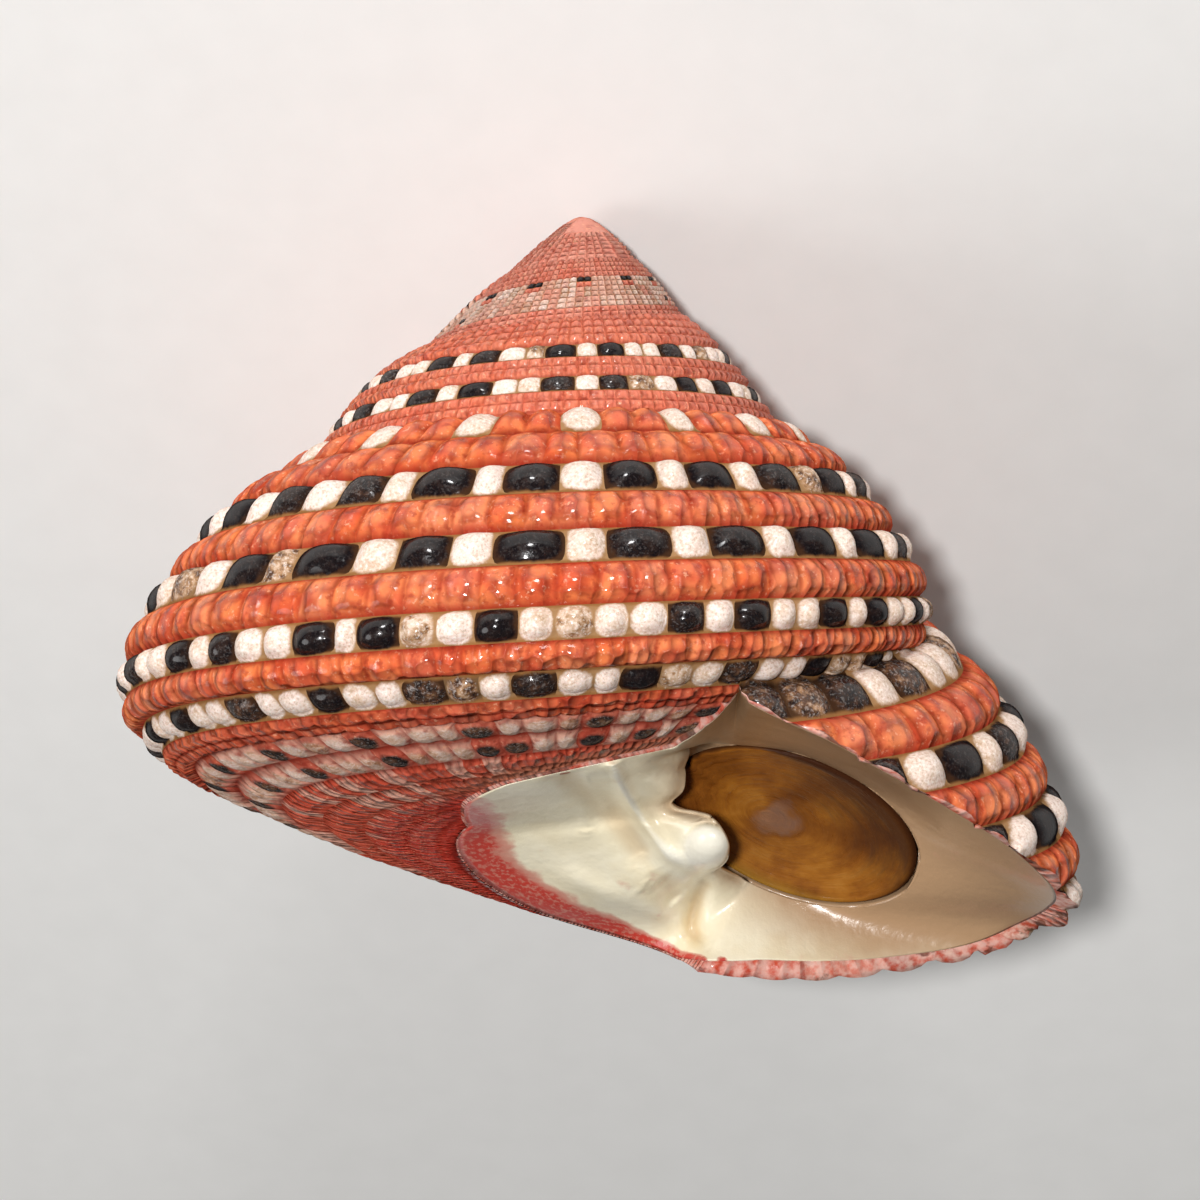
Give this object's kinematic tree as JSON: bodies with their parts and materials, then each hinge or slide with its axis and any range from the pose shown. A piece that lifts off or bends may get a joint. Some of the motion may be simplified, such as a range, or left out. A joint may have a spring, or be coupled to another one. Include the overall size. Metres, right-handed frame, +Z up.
{
  "type": "strawberry top seashell",
  "caption": "Coiled top-shaped seashell with beaded spiral cords and a horny plate closing its mouth.",
  "frame": {"origin": "centre of the bounding box on the resting plane", "axes": "+Z up with the shell lying on its flank, +X along the greatest width, mouth facing up and to -Y, tip to -Y and down"},
  "size_m": [0.02, 0.0164, 0.0131],
  "materials": {
    "shell": "glossy",
    "operculum": "satin"
  },
  "bodies": {
    "root": {"shell": "shell", "operculum": "operculum"}
  },
  "joints": []
}
